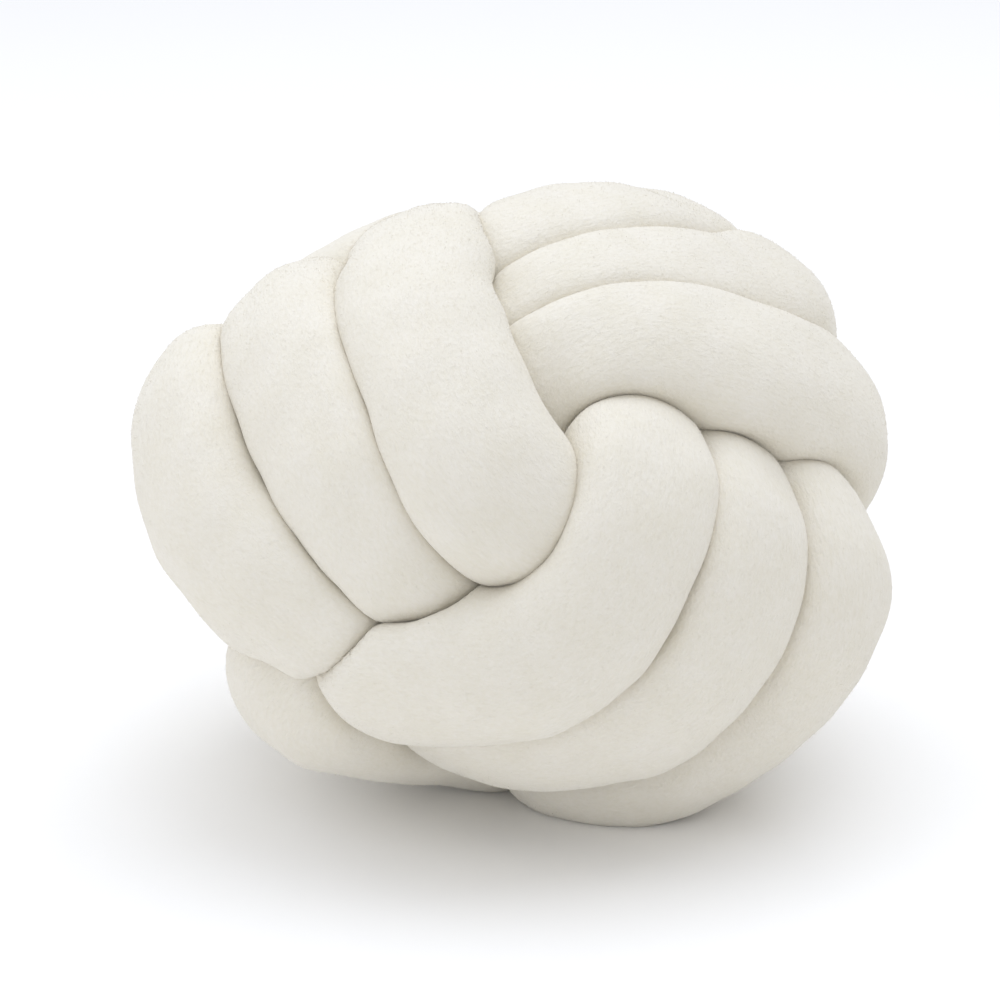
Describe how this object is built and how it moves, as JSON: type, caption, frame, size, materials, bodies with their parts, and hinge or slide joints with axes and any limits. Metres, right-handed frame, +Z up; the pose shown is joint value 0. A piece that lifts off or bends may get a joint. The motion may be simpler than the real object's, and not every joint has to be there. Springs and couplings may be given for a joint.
{
  "type": "knot cushion",
  "caption": "Soft ball cushion tied from a long stuffed plush tube in a monkey's-fist knot, its turns riding over and diving under each other, with a small flat to rest on.",
  "frame": {"origin": "middle of the ball's width and depth, on the surface it rests on", "axes": "+Z up; +X to the right in the picture, along the ball's greatest width; +Y away from the camera"},
  "size_m": [0.2002, 0.1828, 0.1619],
  "materials": {
    "cream_plush": "matt short-pile plush"
  },
  "bodies": {
    "root": {"knotted_tube": "cream_plush"}
  },
  "joints": []
}
